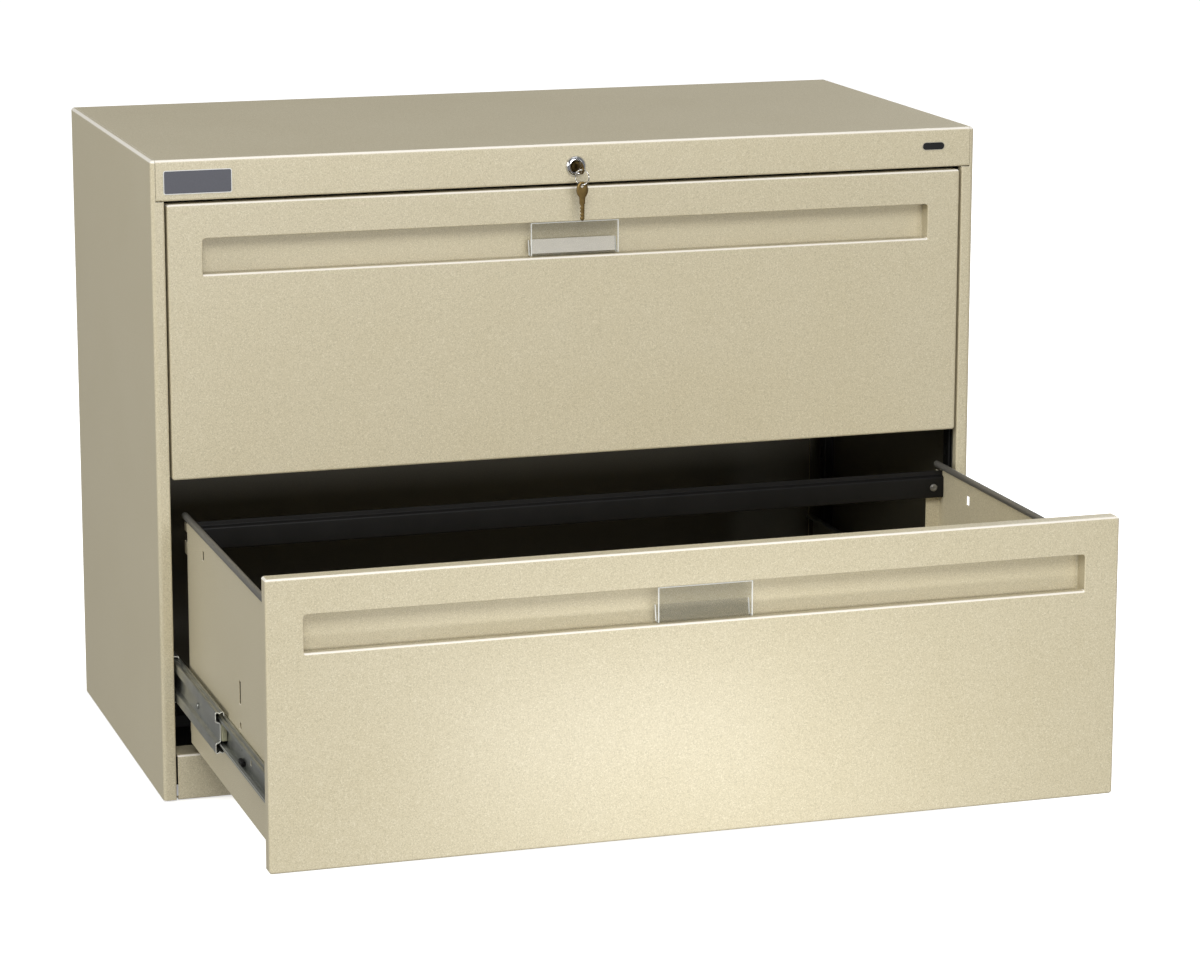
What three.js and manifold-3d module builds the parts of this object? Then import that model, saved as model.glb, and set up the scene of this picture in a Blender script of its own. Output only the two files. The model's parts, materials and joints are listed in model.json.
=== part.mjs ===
// Two-drawer lateral filing cabinet in folded sheet steel, with ball-bearing drawer slides, a gang
// lock worked by a keyed cylinder, and levelling glides. Millimetres, +Z up, the fronts face -Y.
// The origin is on the floor, at the centre of the cabinet's footprint.
// The rest state has the lower drawer pulled right out and the upper drawer shut.

import * as THREE from "three";
import { mergeVertices } from "three/addons/utils/BufferGeometryUtils.js";
import Module from "manifold-3d";

const wasm = await Module();
wasm.setup();

// ---- Driving dimensions ----

const WIDTH = 914.4; // 36 inches
const DEPTH = 457.2; // 18 inches
const HEIGHT = 686; // 27 inches
const SHEET = 1.2; // steel of the case and drawers
const GAP = 0.3; // between pieces that are welded or screwed together
const FRONT = -DEPTH / 2;
const BACK = DEPTH / 2;
const HALF = WIDTH / 2;

const FRONT_HEIGHT = 291; // of one drawer front
const FRONT_HALF_WIDTH = 441;
const FRONT_THICK = 16;
const REVEAL = 3.5; // dark gap above and below each drawer front
const APRON_HEIGHT = 43;
const BASE_HEIGHT = 50.5;
const CASE_FLOOR_GAP = 1.5; // the case stands clear of the floor on its glides
const LOWER_Z = BASE_HEIGHT + REVEAL;
const UPPER_Z = LOWER_Z + FRONT_HEIGHT + REVEAL;
const APRON_Z = HEIGHT - APRON_HEIGHT;
const EXTENSION = 430; // full travel of a drawer

const STILE = 14; // width of the case's front flange at each side
const CASE_BEND = 3.4; // middle-of-sheet radius of the case's outer folds
const TIGHT_BEND = 1.4; // the same on hidden folds
const BEND_STEPS = 3;

const RECESS_HALF_WIDTH = 404;
const RECESS_DROP = 37; // from a front's top edge to its handle recess
const RECESS_HEIGHT = 37.5;
const RECESS_DEPTH = 22;
const GROOVE = 13; // how far the finger groove goes below the lip

const SIDE_X = 426.3; // outer face of a drawer's side
const SIDE_RISE = 8; // from a front's lower edge to the drawer side's
const SIDE_TOP_DROP = 37; // from a front's top edge to the drawer side's
const DRAWER_LENGTH = 434; // from the front face to the drawer's rear
const BAR_HEIGHT = 30;
const BAR_DROP = 41; // from a front's top edge to the hanging bars' top
const CAP_RADIUS = 3.6;

const SLIDE_RISE = 74; // from a front's lower edge to its slides' centre line
const SLIDE_X = SIDE_X + GAP; // inner face of a slide, against the drawer side
const UPRIGHT_X = 443.8; // inner face of the uprights that carry the slides
const UPRIGHT_WIDTH = 16;

const LOCK_Z = 661.5;
const CAM_ARM = 12;
const CAM_REST = Math.PI / 4; // the cam's pin stands this far to the left of straight down
const LOCK_TRAVEL = 2 * CAM_ARM * Math.sin(CAM_REST);

const GLIDE_X = 415;
const GLIDE_INSET = 52;
const PAN_Z = 14; // underside of the bottom pan
const RIB_Z = 2; // underside of the pan's pressed rib

// ---- Finishes ----

function finish(color, roughness, metalness) {
  return { color, roughness, metalness };
}

const PUTTY = finish(0xc9c0a3, 0.55, 0.0);
const BLACK_PAINT = finish(0x161615, 0.6, 0.0);
const ZINC = finish(0x8a8f90, 0.4, 0.9);
const GUNMETAL = finish(0x6e6d6b, 0.45, 0.6);
const CHROME = finish(0xd8d8d6, 0.15, 1.0);
const BRASS = finish(0x9c8450, 0.35, 1.0);
const CLEAR = finish(0xd9dcd8, 0.1, 0.0);
const CARD = finish(0xe9e4d6, 0.8, 0.0);
const GREY_PLATE = finish(0x5b5c63, 0.5, 0.0);
const BLACK_BADGE = finish(0x131313, 0.3, 0.0);
const NYLON = finish(0x3a3a38, 0.6, 0.0);

// ---- Shape tools ----

// A closed geometry as a solid for joining and cutting.
function solidOf(geometry) {
  const bare = geometry.clone();
  bare.deleteAttribute("normal");
  bare.deleteAttribute("uv");
  const merged = mergeVertices(bare, 1e-4);
  return new wasm.Manifold(
    new wasm.Mesh({
      numProp: 3,
      vertProperties: new Float32Array(merged.attributes.position.array),
      triVerts: new Uint32Array(merged.index.array),
    }),
  );
}

function geometryOf(solid) {
  const mesh = solid.getMesh();
  const geometry = new THREE.BufferGeometry();
  geometry.setAttribute("position", new THREE.BufferAttribute(mesh.vertProperties, 3));
  geometry.setIndex(new THREE.BufferAttribute(mesh.triVerts, 1));
  geometry.computeVertexNormals();
  return geometry;
}

function join(...geometries) {
  const [first, ...others] = geometries.map(solidOf);
  return geometryOf(others.reduce((sum, solid) => sum.add(solid), first));
}

function cut(geometry, ...tools) {
  return geometryOf(tools.reduce((rest, tool) => rest.subtract(solidOf(tool)), solidOf(geometry)));
}

function shapeOf(points) {
  return new THREE.Shape(points.map(([u, v]) => new THREE.Vector2(u, v)));
}

// A shape of (x, y) points, raised from z0 to z1.
function extrudeZ(shape, z0, z1) {
  const geometry = new THREE.ExtrudeGeometry(shape, { depth: z1 - z0, bevelEnabled: false });
  return geometry.translate(0, 0, z0);
}

// A shape of (x, z) points, carried from y0 to y1.
function extrudeY(shape, y0, y1) {
  const geometry = new THREE.ExtrudeGeometry(shape, { depth: y1 - y0, bevelEnabled: false });
  return geometry.rotateX(Math.PI / 2).translate(0, y1, 0);
}

// A shape of (y, z) points, carried from x0 to x1.
function extrudeX(shape, x0, x1) {
  const geometry = new THREE.ExtrudeGeometry(shape, { depth: x1 - x0, bevelEnabled: false });
  const turn = new THREE.Matrix4().makeBasis(
    new THREE.Vector3(0, 1, 0),
    new THREE.Vector3(0, 0, 1),
    new THREE.Vector3(1, 0, 0),
  );
  return geometry.applyMatrix4(turn).translate(x0, 0, 0);
}

function block([x0, x1], [y0, y1], [z0, z1]) {
  const box = new THREE.BoxGeometry(x1 - x0, y1 - y0, z1 - z0);
  return box.translate((x0 + x1) / 2, (y0 + y1) / 2, (z0 + z1) / 2);
}

// A round bar along Y.
function rodY(radius, y0, y1, x, z, sides = 20) {
  const rod = new THREE.CylinderGeometry(radius, radius, y1 - y0, sides);
  return rod.translate(x, (y0 + y1) / 2, z);
}

// A round bar along Z.
function rodZ(radius, z0, z1, x, y, sides = 16) {
  const rod = new THREE.CylinderGeometry(radius, radius, z1 - z0, sides);
  return rod.rotateX(Math.PI / 2).translate(x, y, (z0 + z1) / 2);
}

function leftOf(direction) {
  return new THREE.Vector2(-direction.y, direction.x);
}

// The cross-section of a folded sheet. The path is the middle of the sheet with sharp corners, and
// radii holds each fold's middle-of-sheet radius: one number for all of them, or one for each.
function foldedSheet(path, radii, thickness = SHEET) {
  const corners = path.map(([u, v]) => new THREE.Vector2(u, v));
  const stations = [];
  corners.forEach((corner, i) => {
    const before = i > 0 ? corner.clone().sub(corners[i - 1]).normalize() : null;
    const after = i < corners.length - 1 ? corners[i + 1].clone().sub(corner).normalize() : null;
    if (!before || !after) {
      stations.push([corner, leftOf(before || after)]);
      return;
    }
    const radius = Array.isArray(radii) ? radii[i - 1] : radii;
    const turn = Math.atan2(before.cross(after), before.dot(after));
    const side = Math.sign(turn);
    const start = corner.clone().addScaledVector(before, -radius * Math.tan(Math.abs(turn) / 2));
    const centre = start.clone().addScaledVector(leftOf(before), side * radius);
    for (let k = 0; k <= BEND_STEPS; k++) {
      const normal = leftOf(before).rotateAround(new THREE.Vector2(), (turn * k) / BEND_STEPS);
      stations.push([centre.clone().addScaledVector(normal, -side * radius), normal]);
    }
  });
  const face = (offset) => stations.map(([p, n]) => p.clone().addScaledVector(n, offset));
  return new THREE.Shape([...face(thickness / 2), ...face(-thickness / 2).reverse()]);
}

// ---- Scene graph ----

const cabinet = new THREE.Group();

function add(group, name, look, geometry, mirrored = false) {
  const mesh = new THREE.Mesh(geometry, new THREE.MeshStandardMaterial(look));
  mesh.name = name;
  if (mirrored) mesh.scale.x = -1;
  group.add(mesh);
}

// Adds the right-hand piece, and its mirror image on the left.
function addPair(group, before, after, look, geometry) {
  add(group, before + "right" + after, look, geometry);
  add(group, before + "left" + after, look, geometry.clone(), true);
}

// ---- Case ----

// The side is one folded sheet: outer wall, front stile with its return, rear flange, and a folded
// top edge with a narrow ledge under the top panel. Beside the apron the stile is cut back.
function sidePanel() {
  const wallX = HALF - SHEET / 2;
  const frontY = FRONT + SHEET / 2;
  const rearY = BACK - SHEET * 1.5 - GAP;
  const stileX = HALF - STILE + SHEET / 2;
  const apronEdgeX = HALF - 4.9;
  const topFold = HEIGHT - 4;
  const rearFlange = [[wallX, rearY], [HALF - 15, rearY]];
  const lower = foldedSheet(
    [[stileX, FRONT + 10], [stileX, frontY], [wallX, frontY], ...rearFlange],
    [TIGHT_BEND, CASE_BEND, TIGHT_BEND],
  );
  const upper = foldedSheet([[apronEdgeX, frontY], [wallX, frontY], ...rearFlange], [CASE_BEND, TIGHT_BEND]);
  const fold = foldedSheet(
    [[wallX, APRON_Z + 20], [wallX, HEIGHT - SHEET / 2], [apronEdgeX, HEIGHT - SHEET / 2]],
    CASE_BEND,
  );
  const ledgeZ = HEIGHT - SHEET - GAP;
  return join(
    extrudeZ(lower, CASE_FLOOR_GAP, APRON_Z - GAP),
    extrudeZ(upper, APRON_Z - 1, topFold),
    extrudeY(fold, FRONT + 4, BACK - SHEET - GAP),
    block([HALF - 18, wallX], [FRONT + 16, BACK - 8], [ledgeZ - SHEET, ledgeZ]),
  );
}

// The top is one sheet with the front apron, the apron's return, and a rear turn-down.
function topPanel() {
  const halfWidth = HALF - 5.2;
  const skin = SHEET / 2;
  const path = [
    [FRONT + 14, APRON_Z + skin],
    [FRONT + skin, APRON_Z + skin],
    [FRONT + skin, HEIGHT - skin],
    [BACK - skin, HEIGHT - skin],
    [BACK - skin, HEIGHT - 16],
  ];
  const sheet = extrudeX(foldedSheet(path, [TIGHT_BEND, 2.6, TIGHT_BEND]), -halfWidth, halfWidth);
  return cut(sheet, rodY(9.6, FRONT - 2, FRONT + 4, 0, LOCK_Z, 24));
}

function backPanel() {
  return block([-HALF + 1, HALF - 1], [BACK - SHEET, BACK], [CASE_FLOOR_GAP, HEIGHT - 16 - GAP]);
}

function baseRail() {
  const skin = SHEET / 2;
  const path = [
    [FRONT + 12, CASE_FLOOR_GAP + skin],
    [FRONT + skin, CASE_FLOOR_GAP + skin],
    [FRONT + skin, BASE_HEIGHT - skin],
    [FRONT + 36, BASE_HEIGHT - skin],
    [FRONT + 36, BASE_HEIGHT - 12],
  ];
  const halfWidth = HALF - STILE - 1.7;
  return extrudeX(foldedSheet(path, [TIGHT_BEND, 2, TIGHT_BEND]), -halfWidth, halfWidth);
}

const GLIDE_PLACES = [
  ["front_left", -GLIDE_X, FRONT + GLIDE_INSET],
  ["front_right", GLIDE_X, FRONT + GLIDE_INSET],
  ["rear_left", -GLIDE_X, BACK - GLIDE_INSET],
  ["rear_right", GLIDE_X, BACK - GLIDE_INSET],
];

// The pan closes the case's underside. It has a pressed rib across the middle, a turned-up flange
// against each side, and a threaded boss for each glide.
function bottomPan() {
  const skin = SHEET / 2;
  const flat = PAN_Z + skin;
  const path = [
    [FRONT + 15, flat],
    [-46, flat],
    [-36, RIB_Z + skin],
    [36, RIB_Z + skin],
    [46, flat],
    [BACK - 6, flat],
  ];
  const panHalf = HALF - SHEET - GAP;
  const sheet = extrudeX(foldedSheet(path, 2), -panHalf, panHalf);
  const flange = (side) =>
    block(
      side > 0 ? [panHalf - SHEET, panHalf] : [-panHalf, SHEET - panHalf],
      [FRONT + 15, BACK - 6],
      [PAN_Z, PAN_Z + 14],
    );
  const bosses = GLIDE_PLACES.map(([, x, y]) => rodZ(8, PAN_Z + 0.5, PAN_Z + 8, x, y, 6));
  const holes = GLIDE_PLACES.map(([, x, y]) => rodZ(4.4, 0, PAN_Z + 12, x, y, 12));
  return cut(join(sheet, flange(1), flange(-1), ...bosses), ...holes);
}

// A glide is a nylon-faced pad on a threaded stem.
function glide(x, y) {
  const profile = [
    [0, 0],
    [13, 0],
    [15, 2],
    [15, 4],
    [6, 7],
    [4, 7],
    [4, 40],
    [0, 40],
  ];
  const turned = new THREE.LatheGeometry(profile.map(([r, h]) => new THREE.Vector2(r, h)), 16);
  return turned.rotateX(Math.PI / 2).translate(x, y, 0);
}

// An upright is a black channel with hook slots, which carries the slides' fixed members.
function upright(y0) {
  const y1 = y0 + UPRIGHT_WIDTH;
  const web = SHEET / 2 + UPRIGHT_X;
  const outer = HALF - SHEET - GAP;
  const path = [
    [outer, y0 + SHEET / 2],
    [web, y0 + SHEET / 2],
    [web, y1 - SHEET / 2],
    [outer, y1 - SHEET / 2],
  ];
  const bottom = PAN_Z + SHEET + GAP + 1;
  const channel = extrudeZ(foldedSheet(path, TIGHT_BEND), bottom, APRON_Z - 6);
  const flangeClearance = block([outer - 2, HALF], [y0 - 1, y1 + 1], [0, PAN_Z + 15]);
  const slots = [];
  for (let z = 60; z < APRON_Z - 40; z += 42) {
    slots.push(block([UPRIGHT_X - 1, UPRIGHT_X + 4], [(y0 + y1) / 2 - 2, (y0 + y1) / 2 + 2], [z, z + 14]));
  }
  return cut(channel, flangeClearance, ...slots);
}

function buildCase(group) {
  addPair(group, "", "_side_panel", PUTTY, sidePanel());
  add(group, "top_panel", PUTTY, topPanel());
  add(group, "back_panel", PUTTY, backPanel());
  add(group, "base_rail", PUTTY, baseRail());
  add(group, "bottom_pan", BLACK_PAINT, bottomPan());
  addPair(group, "front_", "_upright", BLACK_PAINT, upright(FRONT + 24));
  addPair(group, "rear_", "_upright", BLACK_PAINT, upright(FRONT + 410));
  for (const [place, x, y] of GLIDE_PLACES) add(group, place + "_glide", NYLON, glide(x, y));
}

// ---- Slides ----

// Each slide has three nested channels along Y. heights are half heights at the legs' outside, and
// x runs from the web to the open edge, so a channel can open either way.
function slideChannel(webX, edgeX, halfHeight, lip, centreZ, y0, y1) {
  const leg = halfHeight - SHEET / 2;
  const path = [
    [edgeX, centreZ - leg + lip],
    [edgeX, centreZ - leg],
    [webX, centreZ - leg],
    [webX, centreZ + leg],
    [edgeX, centreZ + leg],
    [edgeX, centreZ + leg - lip],
  ];
  return extrudeY(foldedSheet(path, 1), y0, y1);
}

function fixedMember(z) {
  return slideChannel(UPRIGHT_X - GAP - SHEET / 2, 434, 25.5, 2.6, z, FRONT + 21, FRONT + 441);
}

function middleMember(z) {
  return slideChannel(440.2, 431.6, 22, 4.2, z, FRONT + 25, FRONT + 437);
}

function drawerMember(z) {
  return slideChannel(SLIDE_X + SHEET / 2, 437, 15, 2, z, FRONT + 22, FRONT + DRAWER_LENGTH);
}

// ---- Drawers ----

function handleOpening(top, bottom) {
  const corner = 3.5;
  const x = RECESS_HALF_WIDTH;
  const outline = new THREE.Shape();
  outline.moveTo(-x, bottom);
  outline.lineTo(x, bottom);
  outline.lineTo(x, top - corner);
  outline.absarc(x - corner, top - corner, corner, 0, Math.PI / 2);
  outline.lineTo(corner - x, top);
  outline.absarc(corner - x, top - corner, corner, Math.PI / 2, Math.PI);
  outline.closePath();
  return new THREE.ExtrudeGeometry(outline, { depth: 8, bevelEnabled: false, curveSegments: 3 })
    .rotateX(Math.PI / 2)
    .translate(0, FRONT + 4, 0);
}

// The front is a shallow folded pan. Its upright edges turn in again to take the drawer's sides, and
// the lower edge of the handle opening turns back as a finger lip.
function drawerFront(z) {
  const skin = SHEET / 2;
  const face = FRONT + skin;
  const rear = FRONT + FRONT_THICK - skin;
  const edgeX = FRONT_HALF_WIDTH - skin;
  const top = z + FRONT_HEIGHT;
  const relief = 2.6;
  const lying = foldedSheet([[rear, z + skin], [face, z + skin], [face, top - skin], [rear, top - skin]], 2);
  const standing = foldedSheet(
    [[edgeX - 30, rear], [edgeX, rear], [edgeX, face], [-edgeX, face], [-edgeX, rear], [30 - edgeX, rear]],
    [TIGHT_BEND, 2, 2, TIGHT_BEND],
  );
  const recessTop = top - RECESS_DROP;
  const recessBottom = recessTop - RECESS_HEIGHT;
  const lip = foldedSheet(
    [[face, recessBottom - 12], [face, recessBottom - skin], [FRONT + 8, recessBottom - skin]],
    2,
  );
  const pan = join(
    extrudeX(lying, relief - FRONT_HALF_WIDTH, FRONT_HALF_WIDTH - relief),
    extrudeZ(standing, z + relief, top - relief),
  );
  const opened = cut(pan, handleOpening(recessTop, recessBottom - 3));
  return join(opened, extrudeX(lip, -RECESS_HALF_WIDTH - 1, RECESS_HALF_WIDTH + 1));
}

// The handle pan backs the opening: a ledge above, a back wall, and a groove behind the lip.
function handlePan(z) {
  const top = z + FRONT_HEIGHT - RECESS_DROP;
  const bottom = top - RECESS_HEIGHT;
  const halfWidth = RECESS_HALF_WIDTH + 3;
  const seatY = FRONT + SHEET * 1.5 + GAP;
  const wallY = FRONT + RECESS_DEPTH + SHEET / 2;
  const floorZ = bottom - GROOVE - SHEET / 2;
  const path = [
    [seatY, top + 11],
    [seatY, top + SHEET / 2],
    [wallY, top + SHEET / 2],
    [wallY, floorZ],
    [seatY + 9, floorZ],
    [seatY + 1, floorZ - 9],
  ];
  const cheek = shapeOf([
    [seatY + 9, floorZ],
    [wallY, floorZ],
    [wallY, top + SHEET / 2],
    [seatY, top + SHEET / 2],
    [seatY, bottom + 1],
    [seatY + 9, bottom + 1],
  ]);
  return join(
    extrudeX(foldedSheet(path, 1.5), -halfWidth, halfWidth),
    extrudeX(cheek, halfWidth - SHEET, halfWidth),
    extrudeX(cheek, -halfWidth, SHEET - halfWidth),
  );
}

// A drawer side has a bottom flange, a front flange, a rear flange below the hanging bar, two rear
// tabs, and slots.
function drawerSide(z) {
  const skin = SHEET / 2;
  const x = SIDE_X - skin;
  const bottom = z + SIDE_RISE;
  const top = z + FRONT_HEIGHT - SIDE_TOP_DROP;
  const frontY = FRONT + FRONT_THICK + GAP;
  const rearY = FRONT + DRAWER_LENGTH;
  const flangeTop = z + FRONT_HEIGHT - BAR_DROP - BAR_HEIGHT - GAP;
  const wall = foldedSheet([[x - 12, bottom + skin], [x, bottom + skin], [x, top]], TIGHT_BEND);
  const ends = foldedSheet(
    [[x - 14, frontY + skin], [x, frontY + skin], [x, rearY - skin], [x - 17, rearY - skin]],
    TIGHT_BEND,
  );
  const tabAt = (low, high) => block([x - skin, SIDE_X], [rearY - 4, rearY + 10], [z + low, z + high]);
  const pieces = [
    extrudeY(wall, frontY + 3, rearY - 3),
    extrudeZ(ends, bottom + 14, flangeTop),
    block([x - skin, SIDE_X], [frontY + 2, rearY - 2], [flangeTop - 2, top]),
    tabAt(213, 227),
    tabAt(238, 247),
  ];
  const slotAt = (y, low, high) =>
    block([SIDE_X - 4, SIDE_X + 2], [FRONT + y - 3, FRONT + y + 3], [z + low, z + high]);
  return cut(join(...pieces), slotAt(186, 118, 142), slotAt(186, 92, 99), slotAt(352, 226, 236));
}

// A lock catch is a bent bracket on the right side's outer face, which the lock bar's finger stops.
function lockCatch(z) {
  const inner = SIDE_X + GAP + SHEET / 2;
  const path = [[inner, FRONT + 38], [inner, FRONT + 24], [SIDE_X + 9.5, FRONT + 24]];
  return extrudeZ(foldedSheet(path, 1), z + 176, z + 192);
}

function drawerBottom(z) {
  const skin = SHEET / 2;
  const low = z + SIDE_RISE + SHEET + GAP + skin;
  const y0 = FRONT + FRONT_THICK + SHEET + 2 * GAP + skin;
  const y1 = FRONT + DRAWER_LENGTH - SHEET - GAP - skin;
  const path = [[y0, low + 16], [y0, low], [y1, low], [y1, low + 16]];
  const halfWidth = SIDE_X - SHEET - TIGHT_BEND - GAP;
  return extrudeX(foldedSheet(path, TIGHT_BEND), -halfWidth, halfWidth);
}

// A hanging bar is a black channel. reach is the way its flanges point along Y.
function hangingBar(z, webY, reach) {
  const skin = SHEET / 2;
  const top = z + FRONT_HEIGHT - BAR_DROP;
  const path = [
    [webY + 9 * reach, top - BAR_HEIGHT + skin],
    [webY, top - BAR_HEIGHT + skin],
    [webY, top - 7],
    [webY + 4 * reach, top - 5],
    [webY + 4 * reach, top],
  ];
  const halfWidth = SIDE_X - SHEET - GAP;
  return extrudeX(foldedSheet(path, 1), -halfWidth, halfWidth);
}

// A cap is a slit round bead that covers a drawer side's top edge.
function sideCap(z) {
  const sheetTop = z + FRONT_HEIGHT - SIDE_TOP_DROP;
  const centreX = SIDE_X - SHEET / 2;
  const centreZ = sheetTop - 0.6;
  const slit = SHEET / 2 + GAP;
  const mouth = Math.asin(slit / CAP_RADIUS);
  const outline = [];
  const steps = 12;
  for (let k = 0; k <= steps; k++) {
    const angle = -Math.PI / 2 + mouth + ((2 * Math.PI - 2 * mouth) * k) / steps;
    outline.push([centreX + CAP_RADIUS * Math.cos(angle), centreZ + CAP_RADIUS * Math.sin(angle)]);
  }
  outline.push([centreX - slit, sheetTop + GAP]);
  outline.push([centreX + slit, sheetTop + GAP]);
  return extrudeY(shapeOf(outline), FRONT + FRONT_THICK + 2, FRONT + DRAWER_LENGTH + 12);
}

const HOLDER_HALF_WIDTH = 49;

// A label holder is a clear folded strip in the handle opening, with a pocket for a card.
function labelHolder(z) {
  const top = z + FRONT_HEIGHT - RECESS_DROP;
  const bottom = top - RECESS_HEIGHT;
  const path = [
    [FRONT + 3, top - GAP],
    [FRONT + 3, bottom + 1.5],
    [FRONT + 11, bottom + 1.5],
    [FRONT + 14, bottom + 17],
  ];
  return extrudeX(foldedSheet(path, 1, 1.2), -HOLDER_HALF_WIDTH, HOLDER_HALF_WIDTH);
}

function labelCard(z) {
  const bottom = z + FRONT_HEIGHT - RECESS_DROP - RECESS_HEIGHT;
  const outline = shapeOf([
    [FRONT + 9.0, bottom + 3],
    [FRONT + 9.6, bottom + 3],
    [FRONT + 12.2, bottom + 18],
    [FRONT + 11.6, bottom + 18],
  ]);
  return extrudeX(outline, 2 - HOLDER_HALF_WIDTH, HOLDER_HALF_WIDTH - 2);
}

function buildDrawer(level, z, open, hasCard) {
  const name = level + "_";
  const slideZ = z + SLIDE_RISE;
  addPair(cabinet, name, "_slide_channel", ZINC, fixedMember(slideZ));

  const middle = new THREE.Group();
  middle.position.y = -open / 2;
  addPair(middle, name, "_slide_middle", ZINC, middleMember(slideZ));
  cabinet.add(middle);

  const drawer = new THREE.Group();
  drawer.position.y = -open;
  add(drawer, name + "drawer_front", PUTTY, drawerFront(z));
  add(drawer, name + "handle_pan", PUTTY, handlePan(z));
  addPair(drawer, name + "drawer_", "_side", PUTTY, drawerSide(z));
  add(drawer, name + "lock_catch", ZINC, lockCatch(z));
  add(drawer, name + "drawer_bottom", PUTTY, drawerBottom(z));
  add(drawer, name + "rear_hanging_bar", BLACK_PAINT, hangingBar(z, FRONT + 421, 1));
  add(drawer, name + "front_hanging_bar", BLACK_PAINT, hangingBar(z, FRONT + 36, -1));
  addPair(drawer, name, "_side_cap", GUNMETAL, sideCap(z));
  addPair(drawer, name, "_slide_drawer_member", ZINC, drawerMember(slideZ));
  add(drawer, name + "label_holder", CLEAR, labelHolder(z));
  if (hasCard) add(drawer, name + "label_card", CARD, labelCard(z));
  cabinet.add(drawer);
}

// ---- Lock and key ----

// Distances along the lock's axis, from the apron's face towards the back.
const HOUSING_LENGTH = 20;
const LINK_Y = 25.5;
const BAR_Y = 17.2;
const BAR_X = 450;

function lathe(profile, sides) {
  const points = profile.map(([r, y]) => new THREE.Vector2(r, y));
  return new THREE.LatheGeometry(points, sides).translate(0, FRONT, LOCK_Z);
}

// The housing is a chromed sleeve with a coned bezel on the apron's face.
function lockHousing() {
  const bore = 5.8;
  const profile = [
    [bore, -3],
    [7.5, -4.5],
    [9.5, -3.8],
    [11.2, -1],
    [11.2, -GAP],
    [9.2, -GAP],
    [9.2, HOUSING_LENGTH],
    [bore, HOUSING_LENGTH],
    [bore, -3],
  ];
  return lathe(profile, 28);
}

function lockNut() {
  const corners = [0, 1, 2, 3, 4, 5].map((k) => (k * Math.PI) / 3);
  const hexagon = shapeOf(corners.map((a) => [14 * Math.cos(a), LOCK_Z + 14 * Math.sin(a)]));
  hexagon.holes.push(new THREE.Path().absarc(0, LOCK_Z, 9.6, 0, 2 * Math.PI));
  return extrudeY(hexagon, FRONT + SHEET + GAP, FRONT + 6);
}

const PLUG_FACE = -3.4;
const KEY_THICK = 1.8;
const BLADE_WIDTH = 4.6;

function lockPlug() {
  const profile = [
    [0, PLUG_FACE],
    [5.4, PLUG_FACE],
    [5.4, HOUSING_LENGTH + GAP],
    [7.4, HOUSING_LENGTH + GAP],
    [7.4, HOUSING_LENGTH + 2],
    [3.4, HOUSING_LENGTH + 2],
    [3.4, HOUSING_LENGTH + 4.6],
    [0, HOUSING_LENGTH + 4.6],
  ];
  const halfThick = KEY_THICK / 2 + GAP;
  const halfWidth = BLADE_WIDTH / 2 + GAP;
  const keyway = block(
    [-halfThick, halfThick],
    [FRONT - 10, FRONT + 16],
    [LOCK_Z - halfWidth, LOCK_Z + halfWidth],
  );
  return cut(lathe(profile, 24), keyway);
}

// The cam is an arm on the plug's tail, with a pin that works in the link's upright slot.
function lockCam() {
  const y0 = FRONT + HOUSING_LENGTH + 2 + GAP;
  const outline = new THREE.Shape();
  outline.absarc(0, 0, 6.5, 0, Math.PI);
  outline.lineTo(-4, -CAM_ARM);
  outline.absarc(0, -CAM_ARM, 4, Math.PI, 2 * Math.PI);
  outline.closePath();
  outline.holes.push(new THREE.Path().absarc(0, 0, 3.4 + GAP, 0, 2 * Math.PI));
  const arm = new THREE.ExtrudeGeometry(outline, { depth: 2, bevelEnabled: false, curveSegments: 8 });
  arm.rotateX(Math.PI / 2).translate(0, y0 + 2, 0);
  const pin = rodY(1.8, y0 + 1, FRONT + LINK_Y + 3, 0, -CAM_ARM, 10);
  return join(arm, pin).rotateY(CAM_REST).translate(0, 0, LOCK_Z);
}

// A round-ended cutter from one (x, z) point to another, through the link's thickness.
function slotCutter([x0, z0], [x1, z1], radius) {
  const length = Math.hypot(x1 - x0, z1 - z0);
  const outline = new THREE.Shape();
  outline.absarc(0, 0, radius, Math.PI / 2, (3 * Math.PI) / 2);
  outline.absarc(length, 0, radius, -Math.PI / 2, Math.PI / 2);
  outline.closePath();
  const cutter = new THREE.ExtrudeGeometry(outline, { depth: 8, bevelEnabled: false, curveSegments: 6 });
  cutter.rotateX(Math.PI / 2).rotateY(-Math.atan2(z1 - z0, x1 - x0));
  return cutter.translate(x0, FRONT + LINK_Y + 5, z0);
}

const LINK_PIN_X = 432;
const LINK_PIN_Z = 664;

// The link slides to the right as the lock turns. Its slanted slot draws the lock bar down by as much.
function lockLink() {
  const camX = -CAM_ARM * Math.sin(CAM_REST);
  const camZ = LOCK_Z - CAM_ARM * Math.cos(CAM_REST);
  const y = [FRONT + LINK_Y, FRONT + LINK_Y + 1.6];
  const strip = block([camX - 8, LINK_PIN_X - 20], y, [643, 659]);
  const plate = block([LINK_PIN_X - 24, LINK_PIN_X + 5.5], y, [641, LINK_PIN_Z + 6]);
  const camSlot = slotCutter([camX, LOCK_Z - CAM_ARM - 0.5], [camX, camZ + 0.5], 2.6);
  const start = [LINK_PIN_X, LINK_PIN_Z];
  const end = [LINK_PIN_X - LOCK_TRAVEL, LINK_PIN_Z - LOCK_TRAVEL];
  return cut(join(strip, plate), camSlot, slotCutter(start, end, 2.4));
}

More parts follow.
